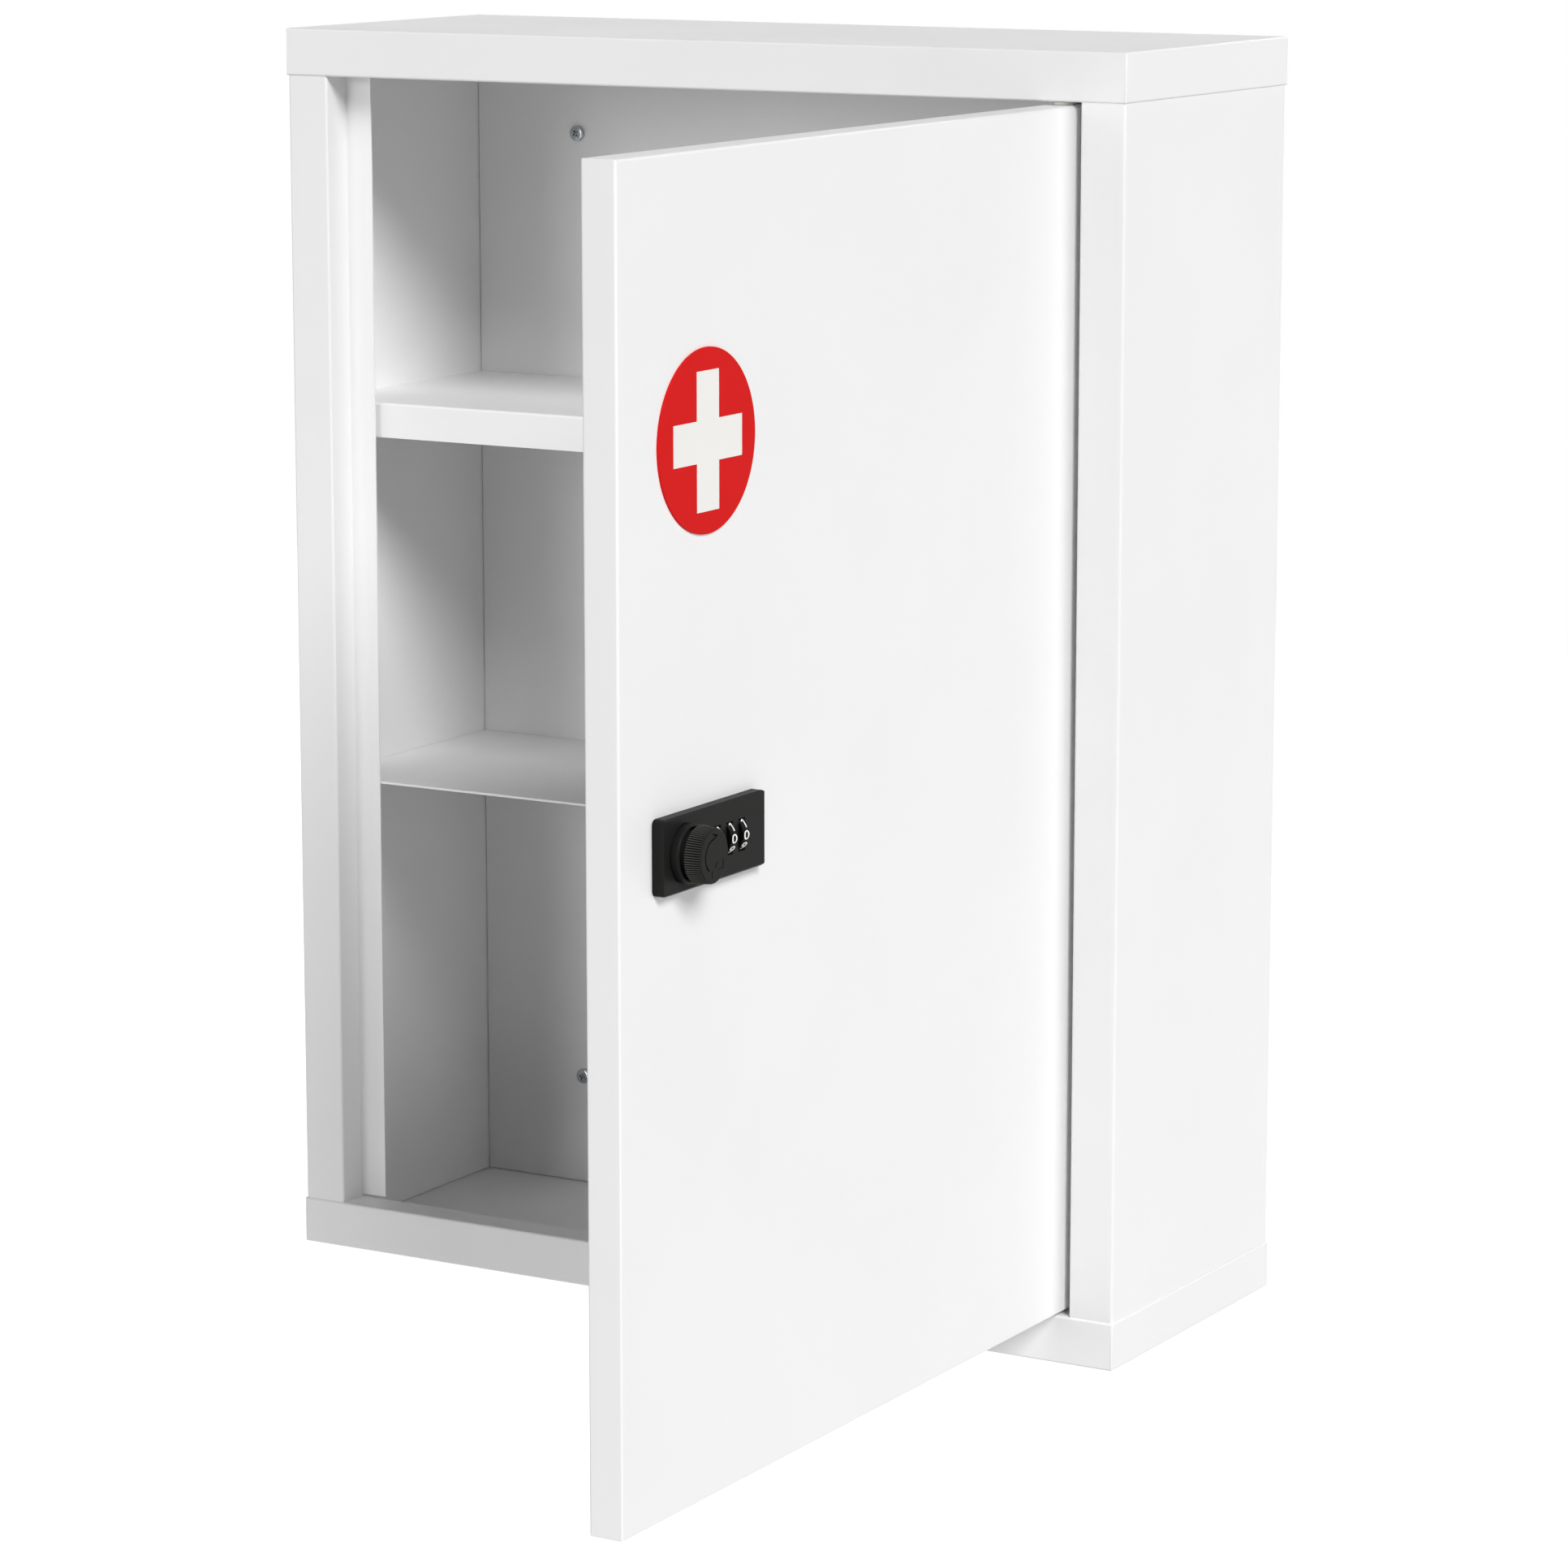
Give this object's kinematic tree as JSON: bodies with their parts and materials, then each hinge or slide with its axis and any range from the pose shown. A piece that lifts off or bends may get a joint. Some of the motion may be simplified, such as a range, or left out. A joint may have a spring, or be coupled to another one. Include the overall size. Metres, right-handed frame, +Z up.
{
  "type": "lockable wall cabinet",
  "caption": "Shallow wall cabinet in white sheet steel with a side-hinged door, inner shelves and a number lock whose knob turns a cam behind the frame.",
  "frame": {"origin": "centre of the cabinet's rear, in the wall plane that the rear edges of the top cap and the base tray rest on", "axes": "+Z up, +X to the right seen from the front, -Y out of the wall towards the user, +Y into the wall"},
  "size_m": [0.36, 0.462, 0.48],
  "materials": {
    "white_powder_coat": "satin white powder coat on sheet steel",
    "bright_zinc": "bright zinc plate on steel",
    "natural_nylon": "natural nylon, turned",
    "red_vinyl": "red badge face, satin",
    "white_vinyl": "off-white badge print",
    "black_abs": "moulded black ABS, fine matt texture",
    "black_acetal": "black acetal with white filled numbers",
    "zinc_casting": "zinc die casting, as cast",
    "spring_steel": "rolled spring steel"
  },
  "bodies": {
    "cabinet": {"top_cap": "white_powder_coat", "base_tray": "white_powder_coat", "left_side": "white_powder_coat", "right_side": "white_powder_coat", "back_panel": "white_powder_coat", "upper_shelf": "white_powder_coat", "lower_shelf": "white_powder_coat", "shelf_rail_left": "white_powder_coat", "shelf_rail_right": "white_powder_coat", "wall_screws": "bright_zinc", "hinge_pin_top": "bright_zinc", "hinge_pin_bottom": "bright_zinc"},
    "door": {"door_shell": "white_powder_coat", "door_liner": "white_powder_coat", "hinge_bush_top": "natural_nylon", "hinge_bush_bottom": "natural_nylon", "badge_disc": "red_vinyl", "badge_cross": "white_vinyl", "lock_plate": "black_abs", "lock_body": "zinc_casting", "lock_screws": "bright_zinc", "lock_nut": "bright_zinc", "lock_collar": "black_abs", "wheel_axle": "bright_zinc", "detent_spring": "spring_steel"},
    "lock_knob": {"knob": "black_abs", "knob_spindle": "bright_zinc", "cam": "bright_zinc", "cam_washer": "bright_zinc", "cam_screw": "bright_zinc"},
    "dial_1": {"number_wheel_1": "black_acetal"},
    "dial_2": {"number_wheel_2": "black_acetal"},
    "dial_3": {"number_wheel_3": "black_acetal"}
  },
  "joints": [
    {"name": "door_hinge", "type": "hinge", "parent": "cabinet", "child": "door", "pos_m": [0.15225, -0.12675, 0], "axis": [0, 0, 1], "range_deg": [-90, 18]},
    {"name": "knob_turn", "type": "hinge", "parent": "door", "child": "lock_knob", "pos_m": [0.1587, -0.4053, -0.0006], "axis": [1, 0, 0], "range_deg": [-90, 0]},
    {"name": "dial_1_spin", "type": "hinge", "parent": "door", "child": "dial_1", "pos_m": [0.1583, -0.3855, -0.0006], "axis": [0, 1, 0], "continuous": true},
    {"name": "dial_2_spin", "type": "hinge", "parent": "door", "child": "dial_2", "pos_m": [0.1583, -0.3779, -0.0006], "axis": [0, 1, 0], "continuous": true},
    {"name": "dial_3_spin", "type": "hinge", "parent": "door", "child": "dial_3", "pos_m": [0.1583, -0.3703, -0.0006], "axis": [0, 1, 0], "continuous": true}
  ]
}
